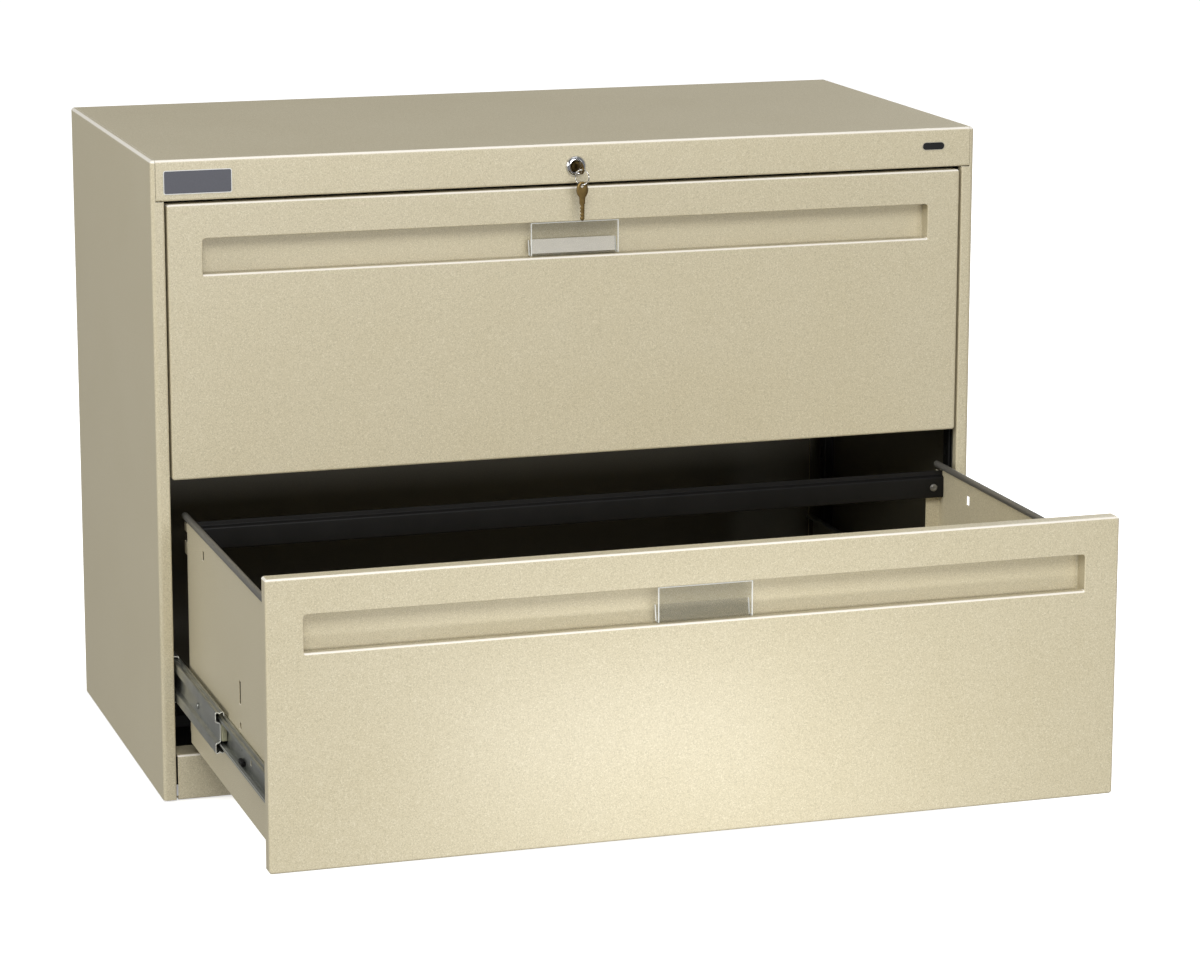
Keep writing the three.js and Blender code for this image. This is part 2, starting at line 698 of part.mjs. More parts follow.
// The lock bar is an upright strip behind the right-hand stile. Each finger stands just above a
// drawer's lock catch, and drops in front of it when the lock turns.
function lockBar() {
  const y = [FRONT + BAR_Y, FRONT + BAR_Y + 1.5];
  const strip = [BAR_X - 4.5, BAR_X + 4.5];
  const finger = (z) => block([430, BAR_X], y, [z + 195, z + 203]);
  const pin = rodY(2, FRONT + BAR_Y + 1, FRONT + LINK_Y + 3, LINK_PIN_X, LINK_PIN_Z, 10);
  return join(
    block(strip, y, [190, LINK_PIN_Z + 6]),
    block([LINK_PIN_X - 4.5, BAR_X], y, [LINK_PIN_Z - 16, LINK_PIN_Z + 6]),
    finger(LOWER_Z),
    finger(UPPER_Z),
    pin,
  );
}

const KEY_HOLE_RADIUS = 2.6;
const KEY_HOLE_TO_SHOULDER = 19.5;
const BLADE_LENGTH = 18;

// The key's outline, blade down in the XZ plane with its hole at the origin: an oval bow that narrows
// to a neck, then a blade with notches along one edge.
function keyShape() {
  const outline = new THREE.Shape();
  const shoulder = -KEY_HOLE_TO_SHOULDER;
  const tip = shoulder - BLADE_LENGTH;
  const blade = BLADE_WIDTH / 2;
  outline.absellipse(0, -5, 6.4, 9.5, 0, Math.PI, false);
  outline.lineTo(-5.9, -9);
  outline.lineTo(-3.2, -15);
  outline.lineTo(-3.2, shoulder);
  outline.lineTo(-blade, shoulder);
  for (const depth of [1.1, 0.6, 1.4, 0.9]) {
    const z = outline.currentPoint.y;
    outline.lineTo(-blade, z - 1.4);
    outline.lineTo(depth - blade, z - 2.4);
    outline.lineTo(depth - blade, z - 2.9);
    outline.lineTo(-blade, z - 3.7);
  }
  outline.lineTo(-0.6, tip);
  outline.lineTo(0.9, tip);
  outline.lineTo(blade, tip + 2);
  outline.lineTo(blade, shoulder);
  outline.lineTo(3.2, shoulder);
  outline.lineTo(3.2, -15);
  outline.lineTo(5.9, -9);
  outline.closePath();
  outline.holes.push(new THREE.Path().absarc(0, 0, KEY_HOLE_RADIUS, 0, 2 * Math.PI));
  const options = { depth: KEY_THICK, bevelEnabled: false, curveSegments: 16 };
  return new THREE.ExtrudeGeometry(outline, options).rotateX(Math.PI / 2).translate(0, KEY_THICK / 2, 0);
}

const RING_RADIUS = 8;
const WIRE_RADIUS = 0.5;
const WIRE_DROP = 0.9; // the wire rests this far below the middle of the key's hole

function buildLock(group) {
  add(group, "lock_housing", CHROME, lockHousing());
  add(group, "lock_nut", ZINC, lockNut());
  add(group, "lock_plug", BRASS, lockPlug());
  add(group, "lock_cam", ZINC, lockCam());
  add(group, "lock_link", ZINC, lockLink());
  add(group, "lock_bar", ZINC, lockBar());

  const holeY = FRONT + PLUG_FACE - GAP - KEY_HOLE_TO_SHOULDER;
  const lockKey = keyShape().rotateX(Math.PI / 2).rotateY(Math.PI / 2).translate(0, holeY, LOCK_Z);
  add(group, "key_in_lock", BRASS, lockKey);

  const wireTop = LOCK_Z - WIRE_DROP;
  const ring = new THREE.TorusGeometry(RING_RADIUS, WIRE_RADIUS, 6, 32);
  ring.rotateX(Math.PI / 2).rotateZ(-Math.PI / 4).translate(0, holeY, wireTop - RING_RADIUS);
  add(group, "key_ring", ZINC, ring);
}

// ---- Plates on the apron ----

function roundedPlate(halfWidth, halfHeight, corner, x, z) {
  const outline = new THREE.Shape();
  const u = halfWidth - corner;
  const v = halfHeight - corner;
  [[u, v], [-u, v], [-u, -v], [u, -v]].forEach(([a, b], quarter) => {
    const start = (quarter * Math.PI) / 2;
    outline.absarc(x + a, z + b, corner, start, start + Math.PI / 2);
  });
  outline.closePath();
  return new THREE.ExtrudeGeometry(outline, { depth: 0.6, bevelEnabled: false, curveSegments: 4 })
    .rotateX(Math.PI / 2)
    .translate(0, FRONT - GAP, 0);
}

// ---- Assembly ----

buildCase(cabinet);
buildDrawer("lower", LOWER_Z, EXTENSION, false);
buildDrawer("upper", UPPER_Z, 0, true);
buildLock(cabinet);
add(cabinet, "label_plate", GREY_PLATE, roundedPlate(36, 12.5, 2.5, -408, 662.5));
add(cabinet, "badge_plate", BLACK_BADGE, roundedPlate(13, 4.4, 4.3, 409, 666.5));

export default cabinet;
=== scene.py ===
import json

import bmesh
import bpy
import numpy as np
from mathutils import Matrix, Vector


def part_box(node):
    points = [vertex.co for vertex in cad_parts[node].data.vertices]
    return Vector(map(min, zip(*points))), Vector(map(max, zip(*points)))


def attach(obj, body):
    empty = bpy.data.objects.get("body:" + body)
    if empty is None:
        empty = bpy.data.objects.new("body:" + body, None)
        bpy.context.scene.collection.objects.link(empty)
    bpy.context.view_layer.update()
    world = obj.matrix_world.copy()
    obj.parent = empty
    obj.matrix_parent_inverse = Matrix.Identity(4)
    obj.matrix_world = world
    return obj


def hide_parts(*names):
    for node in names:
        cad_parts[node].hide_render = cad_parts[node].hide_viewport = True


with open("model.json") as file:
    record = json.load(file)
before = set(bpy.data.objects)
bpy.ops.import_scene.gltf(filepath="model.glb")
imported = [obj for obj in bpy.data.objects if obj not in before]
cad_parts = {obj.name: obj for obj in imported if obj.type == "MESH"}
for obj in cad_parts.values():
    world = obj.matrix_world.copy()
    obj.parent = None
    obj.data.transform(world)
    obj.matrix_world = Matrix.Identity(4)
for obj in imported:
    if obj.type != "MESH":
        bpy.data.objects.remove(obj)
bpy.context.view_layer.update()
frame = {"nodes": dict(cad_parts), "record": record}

# ---- Side panels ----
# Each side of the case is one sheet of 1.2 mm steel: an outer wall, a stile with a return at the
# front, a flange at the rear, and a top edge folded over to a sunk ledge that the top lies on. The
# front and top folds meet in a rounded corner. Its outer face has a putty powder coat, and its inner face
# a dark coat that paints the shade inside the case.

MM = 0.001
SHEET = 1.2


class Figure:
    """A number in a material. Python's operators on it add Math nodes, so 1 - mask works."""

    def __init__(self, mix, socket):
        self.mix, self.socket = mix, socket

    def math(self, operation, *others):
        values = dict(enumerate((self, *others)))
        return self.mix.node("ShaderNodeMath", {"operation": operation}, values)

    def __add__(self, other):
        return self.math("ADD", other)

    def __mul__(self, other):
        return self.math("MULTIPLY", other)

    def __sub__(self, other):
        return self.math("SUBTRACT", other)

    def __rsub__(self, other):
        return self.mix.node("ShaderNodeMath", {"operation": "SUBTRACT"}, {0: other, 1: self})

    __radd__, __rmul__ = __add__, __mul__

    def above(self, level):
        return self.math("GREATER_THAN", level)

    def positive(self):
        return self.math("MAXIMUM", 0.0)


class Mix:
    """A material being mixed: its constants go on the shader, and node() adds any other node."""

    def __init__(self, name, **constants):
        self.material = bpy.data.materials.new(name)
        self.material.use_nodes = True
        self.tree = self.material.node_tree
        self.shader = self.tree.nodes["Principled BSDF"]
        for socket, value in constants.items():
            self.shader.inputs[socket.replace("_", " ")].default_value = value
        self.place = self.node("ShaderNodeTexCoord", {}, {}, "Object")

    def node(self, kind, settings, values, output=0):
        made = self.tree.nodes.new(kind)
        for key, setting in settings.items():
            setattr(made, key, setting)
        for socket, value in values.items():
            if isinstance(value, Figure):
                self.tree.links.new(value.socket, made.inputs[socket])
            else:
                made.inputs[socket].default_value = value
        return Figure(self, made.outputs[output])

    def feed(self, socket, figure):
        self.tree.links.new(figure.socket, self.shader.inputs[socket])

    def noise(self, per_metre, detail=2.0, stretch=(1, 1, 1)):
        """Noise from 0 to 1 with about per_metre spots in a metre."""
        where = self.node("ShaderNodeMapping", {}, {0: self.place, 3: stretch})
        values = {"Vector": where, "Scale": per_metre, "Detail": detail}
        return self.node("ShaderNodeTexNoise", {}, values)

    def tint(self, share, first, second):
        """The first colour where share is 0, and the second where it is 1."""
        values = {0: share, 6: first, 7: second}
        return self.node("ShaderNodeMix", {"data_type": "RGBA"}, values, 2)

    def relief(self, height, depth_mm):
        values = {"Height": height, "Distance": depth_mm * MM, "Strength": 1.0}
        self.feed("Normal", self.node("ShaderNodeBump", {}, values))


def rgb(code):
    """The linear colour of a six-digit sRGB code. Each channel c becomes c / 12.92 up to 0.04045, and
    ((c + 0.055) / 1.055) ^ 2.4 above."""
    c = np.array([int(code[k:k + 2], 16) for k in (0, 2, 4)]) / 255
    return (*np.where(c > 0.04045, ((c + 0.055) / 1.055) ** 2.4, c / 12.92), 1.0)


def powder_coat(name, low, high, dark_grain, pale_grain, bend):
    """Fine orange-peel relief, faint clouding, and small pale and dark grains. On a bend that faces up,
    where the normal's Z is between 0 and 1, the colour turns towards the pale bend colour as a painted
    highlight."""
    coat = Mix(name, Specular_IOR_Level=0.6)
    clouds = coat.noise(9, 3)
    grain = coat.noise(900, 1)
    fleck = coat.noise(1100, 1)
    base = coat.tint(clouds, rgb(low), rgb(high))
    base = coat.tint((0.46 - fleck).positive() * 2.0, base, rgb(dark_grain))
    base = coat.tint((fleck - 0.56).positive() * 2.0, base, rgb(pale_grain))
    facing = coat.node("ShaderNodeTexCoord", {}, {}, "Normal")
    rise = coat.node("ShaderNodeSeparateXYZ", {}, {0: facing}, 2)
    # Painted highlight: bends that face up are mixed towards the pale bend colour.
    leaves_wall = (rise - 0.2).positive() * 4.0
    nears_flat = (0.98 - rise).positive() * 12.0
    painted_highlight_share = leaves_wall.math("MINIMUM", nears_flat).math("MINIMUM", 0.85)
    coat.feed("Base Color", coat.tint(painted_highlight_share, base, rgb(bend)))
    coat.feed("Roughness", 0.30 + 0.12 * grain + 0.05 * clouds)
    coat.relief(grain + 0.5 * coat.noise(400, 1), 0.05)
    return coat.material


# Each coat's last colour is the painted highlight on its upward bends.
PUTTY = powder_coat("putty_powder_coat", "cabf9f", "cfc5a8", "8f8669", "fbf5e2", "fffaf0")
# A dark copy of the putty coat, painted as the shade inside the case.
PAINTED_INSIDE_SHADE = powder_coat("painted_inside_shade_coat", "4a463a", "565244", "35322a", "6a6656", "6a6656")


def span(node):
    """The lowest and the highest corner of a frame node, in millimetres."""
    return tuple(np.array(corner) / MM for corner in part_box(node))


def fold(path, radii, steps=5):
    """A folded line: straight runs between the corners, and at each corner an arc tangent to both runs.
    A point of the arc is the centre plus the spoke turned by its share of the corner's angle."""
    path = np.asarray(path, float)
    line = [path[:1]]
    radii = np.broadcast_to(radii, len(path) - 2)
    for before, corner, after, radius in zip(path, path[1:], path[2:], radii):
        u = (corner - before) / np.linalg.norm(corner - before)
        v = (after - corner) / np.linalg.norm(after - corner)
        turn = np.arctan2(u[0] * v[1] - u[1] * v[0], u @ v)
        inward = np.sign(turn) * np.array([-u[1], u[0]])
        centre = corner - u * radius * np.tan(abs(turn) / 2) + inward * radius
        angle = np.linspace(0, turn, steps + 1)[:, None]
        spoke = -inward * radius
        line.append(centre + spoke * np.cos(angle) + np.array([-spoke[1], spoke[0]]) * np.sin(angle))
    return np.vstack([*line, path[-1:]])


def carry(line, stations, axis):
    """A line carried straight along an axis: point (i, j) is the line's point j at station i."""
    grid = np.empty((len(stations), len(line), 3))
    grid[..., [k for k in range(3) if k != axis]] = line
    grid[..., axis] = np.reshape(stations, (-1, 1))
    return grid


def mirrored(patch):
    """A patch on the other side: x changes sign, and the columns run backwards so it still faces out."""
    grid, keep, closed, ends = patch
    return grid[:, ::-1] * [-1, 1, 1], None if keep is None else keep[:, ::-1], closed, ends


def sheet(grid, keep=None, closed=False, ends=False):
    """A patch for make(): a grid of points, which cells to keep, whether its rows are loops, and whether
    its first and last rows are filled."""
    return grid, keep, closed, ends


def make(name, patches, look, slot, body, replaces=(), wall=None, edge=0.25, inside=False, offset=-1,
         rim=None, lining=None):
    """One piece from grids of points in millimetres, each cell a quad. wall gives a sheet its
    thickness, behind its face or, at an offset of 0, on both sides of it. edge rounds what is sharp.
    inside turns a sheet's faces round, rim is another material for its cut edges, and lining one for
    its hidden face."""
    points, faces, start = [], [], 0
    for grid, keep, closed, ends in patches:
        rows, columns = grid.shape[:2]
        number = start + np.arange(rows * columns).reshape(rows, columns)
        start += rows * columns
        points.append(grid.reshape(-1, 3))
        if ends:
            faces += [number[0, ::-1].tolist(), number[-1].tolist()]
        if closed:
            number = np.hstack([number, number[:, :1]])
        cells = np.stack([number[:-1, :-1], number[:-1, 1:], number[1:, 1:], number[1:, :-1]], -1)
        cells = cells.reshape(-1, 4) if keep is None else cells[keep]
        faces += cells.tolist()
    mesh = bpy.data.meshes.new(name)
    mesh.from_pydata(np.vstack(points) * MM, [], faces)
    shell = bmesh.new()
    shell.from_mesh(mesh)
    bmesh.ops.remove_doubles(shell, verts=shell.verts, dist=0.01 * MM)
    bmesh.ops.delete(shell, geom=[v for v in shell.verts if not v.link_faces], context="VERTS")
    if not wall:
        bmesh.ops.recalc_face_normals(shell, faces=shell.faces)
    elif inside:
        bmesh.ops.reverse_faces(shell, faces=shell.faces)
    shell.to_mesh(mesh)
    shell.free()
    mesh.polygons.foreach_set("use_smooth", np.ones(len(mesh.polygons), bool))
    piece = bpy.data.objects.new(name, mesh)
    bpy.context.scene.collection.objects.link(piece)
    mesh.materials.append(look)
    if wall:
        solidify = piece.modifiers.new("wall", "SOLIDIFY")
        solidify.thickness, solidify.offset = wall * MM, offset
        solidify.use_even_offset = True
        if rim:
            mesh.materials.append(rim)
            solidify.material_offset_rim = 1
        if lining:
            mesh.materials.append(lining)
            solidify.material_offset = 1
    if edge:
        bevel = piece.modifiers.new("edge", "BEVEL")
        bevel.width, bevel.segments, bevel.angle_limit = edge * MM, 2, np.radians(35)
    piece.modifiers.new("shading", "WEIGHTED_NORMAL")
    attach(piece, body)
    if replaces:
        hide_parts(*replaces)


def make_pair(name, patches, look, slot, body, node, **finish):
    """The right-hand piece, and its mirror image on the left. In both names {} stands for the side."""
    for side in ("right", "left"):
        hand = patches if side == "right" else [mirrored(patch) for patch in patches]
        make(name.format(side), hand, look, slot, body, [node.format(side)], **finish)


(_, front, floor_gap), (half, _, top) = span("right_side_panel")
back = span("back_panel")[1][1]
apron_low = span("top_panel")[0][2]
stile = 14.0
fold_radius = 4.0
seam = 4.9
ledge, ledge_drop = 18.0, 1.5


def side_grid():
    """Rows are (inset, height) pairs up the wall and over the top fold. Columns follow the section from
    the stile's return to the rear flange. An inset d moves straight runs in by d, and takes d off the
    radius of the front corner, whose centre stays until its radius is gone."""
    rear = back - SHEET - 0.3
    stile_line = fold([(half - stile, front + 10), (half - stile, front), (half - seam, front)], 2)
    outer = [(half - seam, front), (half, front), (half, rear), (half - 15, rear)]
    outer_line = fold(outer, [fold_radius, 2])
    section = np.vstack([stile_line, outer_line[1:]])
    cut = len(stile_line) - 1
    corner = slice(cut + 1, cut + 7)
    rear_bend = cut + 7
    turn = np.radians(np.linspace(0, 90, 6))
    rows = [(0, floor_gap), (0, apron_low - 0.6), (0, apron_low - 0.3)]
    rows += [(fold_radius * (1 - np.cos(a)), top - fold_radius + fold_radius * np.sin(a)) for a in turn]
    rows += [(seam, top), (seam + 0.1, top - ledge_drop), (ledge, top - ledge_drop)]
    centre = np.array([half - fold_radius, front + fold_radius])
    grid = np.empty((len(rows), len(section), 3))
    for row, (inset, height) in zip(grid, rows):
        reach = max(inset, fold_radius)
        x = np.minimum(section[:, 0], half - inset)
        y = np.maximum(section[:, 1], front + inset)
        line = np.column_stack([x, y])
        spokes = (section[corner] - centre) * (1 - min(inset, fold_radius) / fold_radius)
        line[corner] = (half - reach, front + reach) + spokes
        if inset > 0:
            line[rear_bend + 1:] = (half - inset, rear)
        row[:, :2], row[:, 2] = line, height
    keep = np.ones((len(rows) - 1, len(section) - 1), bool)
    keep[1:, :cut] = False
    keep[3:, rear_bend + 1:] = False
    return sheet(grid, keep)


# The inner faces of the sides and the back take the dark lining: painted shade inside the case.
skin = {"wall": SHEET, "lining": PAINTED_INSIDE_SHADE}
make_pair("{}_side_skin", [side_grid()], PUTTY, "putty_paint", "case", "{}_side_panel", **skin)

# ---- Top, back and base ----
# The top is one sheet with the front apron folded down, the apron's return, and a turn-down at the
# rear. The back is a flat sheet. The base rail is folded back along its top, and closes the bottom.

top_half = span("top_panel")[1][0]
lock_low, lock_high = span("lock_housing")
lock_height = (lock_low[2] + lock_high[2]) / 2
lock_hole = 9.6
hole_frame = 16.0
hole_cells = 7.0


def top_grid():
    """A folded line in (y, z) carried along x. Round the lock's hole the cells bend from a square
    frame to a circle: a point moves from its own place to radius r as it nears the square's middle."""
    marks = np.array([hole_cells / 2, hole_cells, (hole_cells + hole_frame) / 2, hole_frame])
    marks = np.concatenate([-marks[::-1], [0], marks])
    apron = np.column_stack([np.full(len(marks), front), lock_height + marks])
    below = fold([(front + 14, apron_low), (front, apron_low), (front, apron_low + 2.2)], 2)
    above = fold([(front, top - 3.6), (front, top), (back, top), (back, top - 16)], [3.2, 2])
    line = np.vstack([below, apron, above])
    grid = carry(line, [-top_half, *marks, top_half], 0)
    offset = grid[..., [0, 2]] - (0, lock_height)
    square = np.abs(offset).max(-1, keepdims=True)
    round_ = np.linalg.norm(offset, axis=-1, keepdims=True)
    share = np.clip((hole_frame - square) / (hole_frame - hole_cells), 0, 1)
    share = share * (grid[..., 1:2] < front + 0.01)
    bent = offset * (1 - share + share * lock_hole / np.maximum(round_, 1e-6))
    grid[..., [0, 2]] = np.where(share > 0, bent + (0, lock_height), grid[..., [0, 2]])
    keep = np.ones((len(grid) - 1, len(line) - 1), bool)
    first = len(below) + 2
    keep[3:7, first:first + 4] = False
    return sheet(grid, keep)


make("top_and_apron", [top_grid()], PUTTY, "putty_paint", "case", ["top_panel"], wall=SHEET, inside=True)

back_low, back_high = span("back_panel")
back_line = [(back_high[0], back), (back_low[0], back)]
back_patch = sheet(carry(np.array(back_line), [back_low[2], back_high[2]], 2))
make("back_sheet", [back_patch], PUTTY, "putty_paint", "case", ["back_panel"], **skin)

base_low, base_high = span("base_rail")
base_path = [
    (front + 12, base_low[2]),
    (front, base_low[2]),
    (front, base_high[2]),
    (base_high[1], base_high[2]),
    (base_high[1], base_high[2] - 12),
]
base_patch = sheet(carry(fold(base_path, [2, 2.6, 2]), [base_low[0], base_high[0]], 0))
make("base_rail_skin", [base_patch], PUTTY, "putty_paint", "case", ["base_rail"], wall=SHEET, inside=True)

# ---- Drawer fronts ----
# A drawer front is a shallow pressed pan. Its edges turn back 16 mm, the upright ones turn in again
# to take the drawer's sides, and the long handle opening has a finger lip along its lower edge.


def loop(half_width, low, high, corners, y, steps=5):
    """A rounded rectangle round the origin's x: from the lower left corner anticlockwise as seen from
    the front. Each corner is an arc about its own centre. y is a number, or (sides and top, bottom)."""
    points = []
    signs = [(-1, 0), (1, 0), (1, 1), (-1, 1)]
    for quarter, ((side, upper), radius) in enumerate(zip(signs, np.broadcast_to(corners, 4))):
        angle = np.radians(np.linspace(180, 270, steps + 1) + 90 * quarter)
        x = side * (half_width - radius) + radius * np.cos(angle)
        z = (high - radius if upper else low + radius) + radius * np.sin(angle)
        points.append(np.column_stack([x, z]))
    points = np.vstack(points)
    rim, bottom = np.broadcast_to(y, 2)
    share = np.clip((low + corners[0] - points[:, 1]) / max(corners[0], 1e-6), 0, 1)
    return np.column_stack([points[:, 0], rim + (bottom - rim) * share, points[:, 1]])


opening_drop = 37.0
opening_height = 37.5
opening_half = 404.0
return_width = 28.0


def front_grid(low, high):
    """Nested loops: from the finger lip round the opening's rim, over the face, round the outer bend,
    back along the edges, and in along the upright returns. A bend of radius r at angle a steps r(1 -
    sin a) across the face and r(1 - cos a) back from it."""
    face, rear, half_width = low[1], high[1], high[0]
    rim_top, rim_low = high[2] - opening_drop, high[2] - opening_drop - opening_height
    turn = np.radians(np.linspace(90, 0, 5))
    rim, lip, bend = 1.2, 2.6, 2.6
    rows = [loop(opening_half, rim_low, rim_top, (1, 1, 3.5, 3.5), (face + rim + 0.1, face + 8))]
    for a in turn:
        out, down = rim * (1 - np.sin(a)), lip * (1 - np.sin(a))
        corners = (1 + out, 1 + out, 3.5 + out, 3.5 + out)
        back_by = face + np.array([rim, lip]) * (1 - np.cos(a))
        rows.append(loop(opening_half + out, rim_low - down, rim_top + out, corners, back_by))
    for a in turn[::-1]:
        inset = bend * (1 - np.sin(a))
        corners = np.full(4, 3.2 - inset)
        y = face + bend * (1 - np.cos(a))
        rows.append(loop(half_width - inset, low[2] + inset, high[2] - inset, corners, y))
    # The first and the last point of the right-hand upright edge, and of the left-hand one.
    upright = np.zeros(len(rows[0]), bool)
    upright[[11, 12, 0, 23]] = True
    for a in turn[::-1]:
        row = loop(half_width, low[2], high[2], np.full(4, 3.2), rear - 2)
        inward = 2 * (1 - np.cos(a))
        row[:, 0] -= np.where(upright, np.sign(row[:, 0]) * inward, 0)
        row[:, 1] = np.where(upright, rear - 2 + 2 * np.sin(a), rear if a > 0 else rear - 2)
        rows.append(row)
    last = rows[-1].copy()
    last[:, 0] -= np.where(upright, np.sign(last[:, 0]) * return_width, 0)
    rows.append(last)
    grid = np.array(rows)
    keep = np.ones((len(grid) - 1, grid.shape[1]), bool)
    returns = len(grid) - 5
    keep[returns:, :] = False
    keep[returns:, [11, 23]] = True
    return sheet(grid, keep, closed=True)


for level in ("lower", "upper"):
    patch = front_grid(*span(level + "_drawer_front"))
    node = level + "_drawer_front"
    make(node + "_skin", [patch], PUTTY, "putty_paint", level + "_drawer", [node], wall=SHEET, inside=True)

# ---- Handle pans ----
# Behind each opening a pressed steel tray gives the fingers room: a back wall, a ledge above, cheeks
# at the ends, and a groove below the lip. It is spot-welded to the back of the front.

groove = 13.0


def pan_grid(low, high, front_top):
    """Nested loops from the seat against the front, round into the walls, and round into the back
    wall, which the last loop closes."""
    face = low[1] - 1.5
    rim_top = front_top - opening_drop
    floor = rim_top - opening_height - groove
    half_width, wall_y = high[0] - SHEET, high[1] - SHEET
    rows = [loop(half_width + 7, floor - 8, rim_top + 9, np.full(4, 8.0), (face + 1.5, face + 3.4))]
    for a in np.radians(np.linspace(0, 90, 4)):
        out, y = 1 - np.sin(a), 1 - np.cos(a)
        back_by = (face + 1.5 + y, face + 11 + y)
        rows.append(loop(half_width + out, floor - out, rim_top + out, np.full(4, 1 + out), back_by))
    for a in np.radians(np.linspace(0, 90, 5)):
        inset = 2 * (1 - np.cos(a))
        y = wall_y - 2 + 2 * np.sin(a)
        corner = np.full(4, 3 - inset)
        rows.append(loop(half_width - inset, floor + inset, rim_top - inset, corner, y))
    middle = (floor + rim_top) / 2
    rows.append(loop(half_width - 26, middle, middle, np.zeros(4), wall_y))
    return sheet(np.array(rows), closed=True)


for level in ("lower", "upper"):
    node = level + "_handle_pan"
    patch = pan_grid(*span(node), span(level + "_drawer_front")[1][2])
    make(node + "_skin", [patch], PUTTY, "putty_paint", level + "_drawer", [node], wall=SHEET)

# ---- Drawer sides and bottom ----
# A side is a sheet with flanges at the front, rear and bottom, two tabs at the rear, and the hook
# slots for dividers. The bottom is a tray whose ends turn up. Both have the case's putty coat.

ANY = (-1e4, 1e4)
divider_slot = (182, 190)
rear_slot = (348, 356)


def punched(grid, *windows):
    """Which cells to keep: those whose middle is in no window. A window is a range in x, y and z."""
    middle = (grid[:-1, :-1] + grid[1:, 1:]) / 2
    keep = np.ones(middle.shape[:2], bool)
    for window in windows:
        low, high = np.array(window).T
        keep &= ~((middle > low) & (middle < high)).all(-1)
    return keep


def side_patches(low, high):
    """The section in (x, y) runs from the front flange along the wall to the rear flange. Rows are
    (inset, height) pairs: in along the bottom flange, round its bend by a quarter circle, and up."""
    x, near, bottom, rim = high[0], low[1], low[2], high[2]
    rear = high[1] - 10
    base, start = bottom - 8, near - 16.3
    ends = fold([(x - 14, near), (x, near), (x, near + 3)], 2)
    slots = [(x, start + y) for y in divider_slot + rear_slot]
    section = np.vstack([ends, slots, fold([(x, rear - 3), (x, rear), (x - 17, rear)], 2)])
    turn = np.radians(np.linspace(0, 90, 5))
    rows = [(12, bottom)] + [(2 - 2 * np.sin(a), bottom + 2 - 2 * np.cos(a)) for a in turn]
    rows += [(0, base + z) for z in (22, 92, 99, 118, 142, 219.7, 226, 236)] + [(0, rim)]
    inset, height = np.array(rows).T
    grid = carry(section, height, 2)
    grid[..., 0] -= inset[:, None]
    front_end, rear_end = (-1e4, near + 3), (rear - 3, 1e4)
    low_rows, high_rows = (-1e4, base + 22), (base + 219.7, 1e4)
    windows = [(ANY, end, rows) for end in (front_end, rear_end) for rows in (low_rows, high_rows)]
    hook_slots = [(divider_slot, (118, 142)), (divider_slot, (92, 99)), (rear_slot, (226, 236))]
    for (y0, y1), (z0, z1) in hook_slots:
        windows.append((ANY, (start + y0, start + y1), (base + z0, base + z1)))
    tab = np.array([(x, rear - 3), (x, rear + 10)])
    tabs = [sheet(carry(tab, [base + z0, base + z1], 2)) for z0, z1 in ((213, 227), (238, 247))]
    return [sheet(grid, punched(grid, *windows)), *tabs]


for level in ("lower", "upper"):
    body = level + "_drawer"
    patches = side_patches(*span(body + "_right_side"))
    make_pair(body + "_{}_wall", patches, PUTTY, "putty_paint", body, body + "_{}_side", wall=SHEET)
    low, high = span(body + "_bottom")
    tray = [(low[1], low[2] + 16), (low[1], low[2]), (high[1], low[2]), (high[1], low[2] + 16)]
    patch = sheet(carry(fold(tray, 2), [low[0], high[0]], 0))
    make(body + "_tray", [patch], PUTTY, "putty_paint", body, [body + "_bottom"], wall=SHEET)

# ---- Hanging bars and caps ----
# Hanging folders ride on two rolled black channels across each drawer, screwed to its sides, and on
# the round grey beads that snap over the sides' top edges.


def black_coat():
    """A semi-gloss black with a light orange peel and a little dust."""
    coat = Mix("black_paint", Specular_IOR_Level=0.25)
    dust = coat.noise(35, 4)
    coat.feed("Base Color", coat.tint(dust, rgb("060606"), rgb("131211")))
    coat.feed("Roughness", 0.38 + 0.16 * dust)
    coat.relief(coat.noise(800, 1), 0.03)
    return coat.material


def bead_finish():
    """Gunmetal grey plastic with fine lines drawn along it."""
    bead = Mix("grey_cap", Metallic=0.35)
    lines = bead.noise(260, 2, (1, 0.03, 1))
    bead.feed("Base Color", bead.tint(lines, rgb("5e5c57"), rgb("86837b")))
    bead.feed("Roughness", 0.34 + 0.14 * lines)
    bead.relief(lines, 0.02)
    return bead.material


def zinc_plate():
    """Bright zinc: a cool grey metal with soft spangle, drawn lines along Y and duller patches."""
    plate = Mix("zinc_steel", Metallic=0.9)
    lines = plate.noise(420, 2, (1, 0.05, 1))
    patches = plate.noise(45, 4)
    plate.feed("Base Color", plate.tint(patches, rgb("969893"), rgb("c0c1b8")))
    plate.feed("Roughness", 0.26 + 0.12 * lines + 0.12 * patches)
    plate.relief(lines, 0.02)
    return plate.material


BLACK, BEAD, ZINC = black_coat(), bead_finish(), zinc_plate()


def bar_patch(low, high, reach):
    """A rolled channel: flange, web, a joggle and an upstand, in the middle of the sheet, along x."""
    web = low[1] + SHEET / 2 if reach > 0 else high[1] - SHEET / 2
    path = [
        (web + 9 * reach, low[2] + SHEET / 2),
        (web, low[2] + SHEET / 2),
        (web, high[2] - 7),
        (web + 4 * reach, high[2] - 5),
        (web + 4 * reach, high[2]),
    ]
    return sheet(carry(fold(path, 1.4), [low[0], high[0]], 0))


